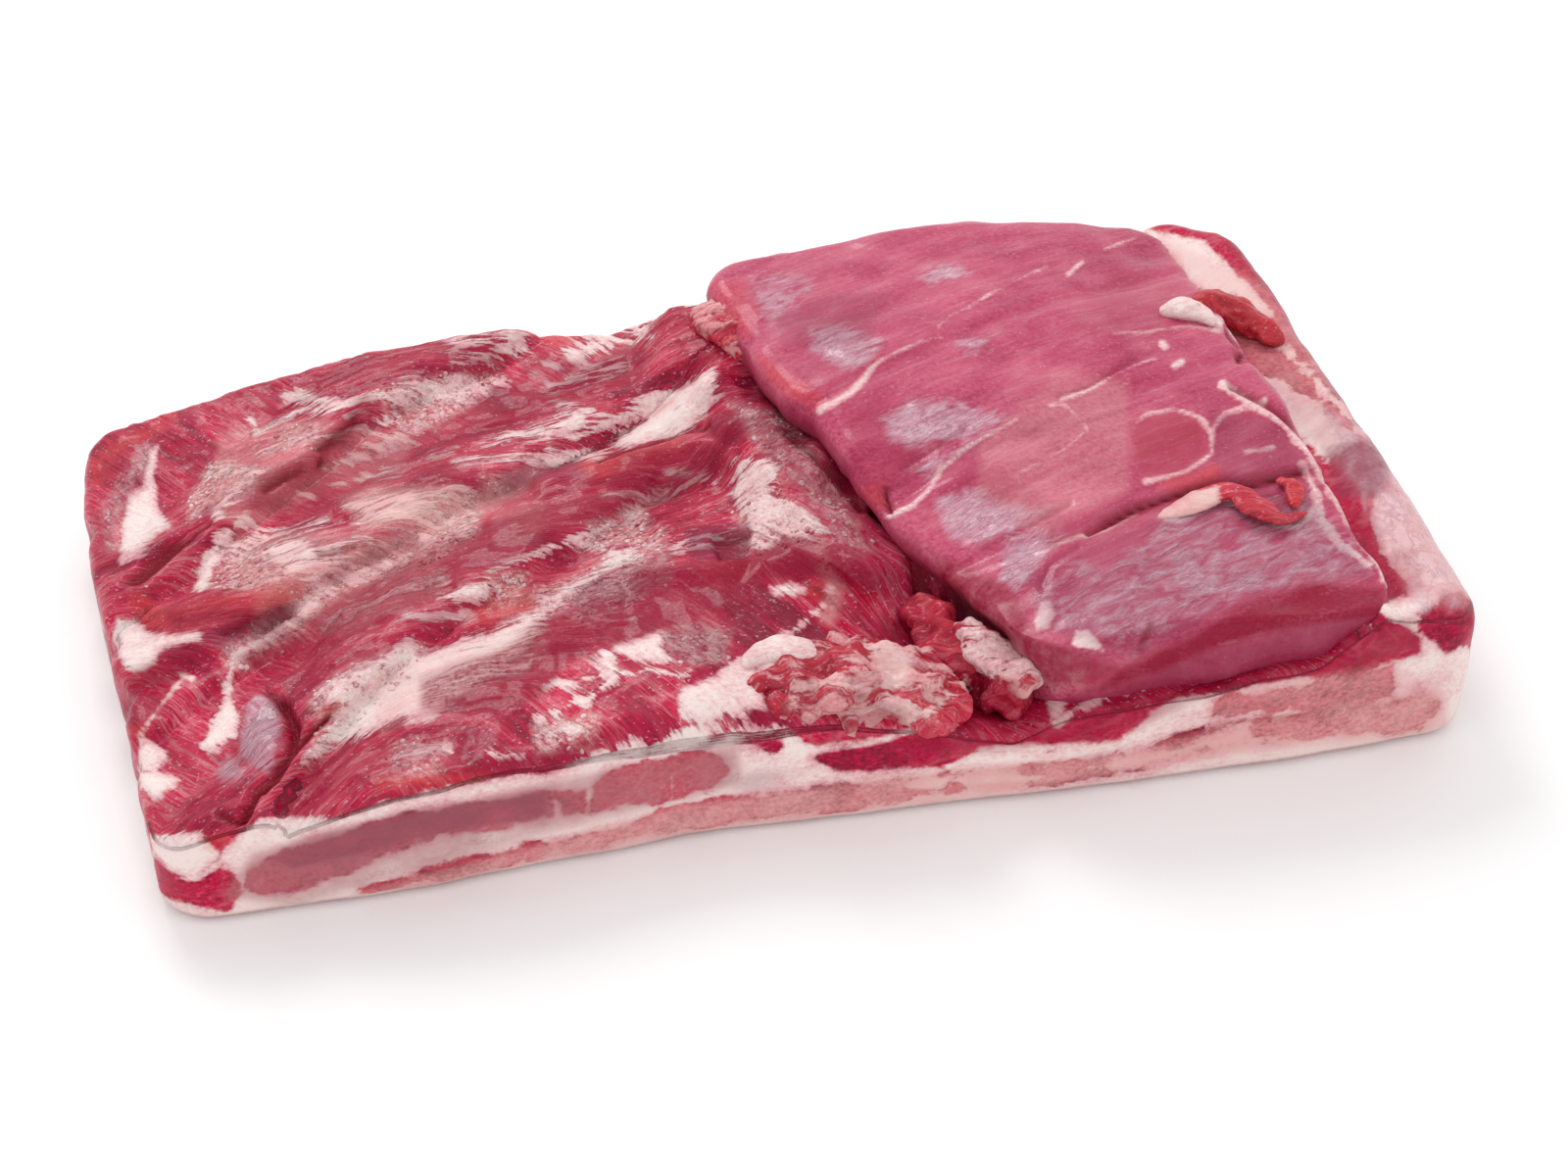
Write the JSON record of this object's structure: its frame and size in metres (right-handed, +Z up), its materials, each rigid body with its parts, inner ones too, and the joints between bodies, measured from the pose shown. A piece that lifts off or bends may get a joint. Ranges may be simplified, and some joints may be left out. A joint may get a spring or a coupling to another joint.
{
  "type": "pork belly slab",
  "caption": "Raw boneless pork belly slab, rib side up, with rib furrows, a thick flank muscle over one half and layered cut sides.",
  "frame": {"origin": "centre of the flat underside (skin side)", "axes": "+Z up from the skin side to the rib side; +X along the slab from the rib end to the flank end; +Y from the cut front face to the back edge"},
  "size_m": [0.3238, 0.1752, 0.057],
  "materials": {
    "raw_meat": "raw pork: dusky red lean with white fat in streaks and layers, moist and slightly glossy"
  },
  "bodies": {
    "root": {"pork_belly": "raw_meat"}
  },
  "joints": []
}
